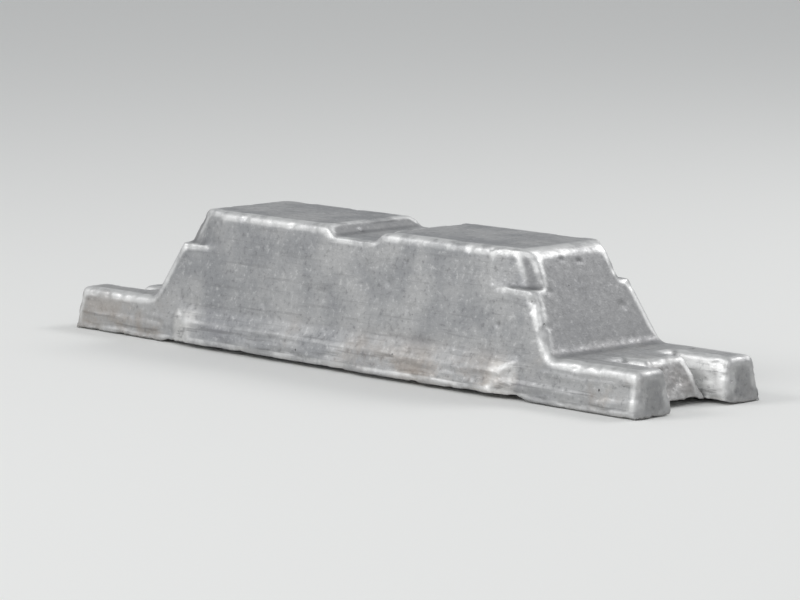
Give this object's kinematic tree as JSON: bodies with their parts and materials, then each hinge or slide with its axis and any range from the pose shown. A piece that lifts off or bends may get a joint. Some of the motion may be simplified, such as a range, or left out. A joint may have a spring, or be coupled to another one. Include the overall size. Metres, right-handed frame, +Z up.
{
  "type": "aluminium ingot",
  "caption": "Cast aluminium remelt ingot: drafted bar with sloped ends, a toothed ear at each end, a notch across its narrow face and relieved corners for stacking.",
  "frame": {"origin": "under the middle of the ingot, on the plane that its four feet stand on", "axes": "+X along the length, +Y across the width, +Z up from the wide casting face to the narrow face"},
  "size_m": [0.72, 0.1668, 0.123],
  "materials": {
    "cast_aluminium": "as-cast, matt to satin, lightly oxidised"
  },
  "bodies": {
    "root": {"ingot": "cast_aluminium"}
  },
  "joints": []
}
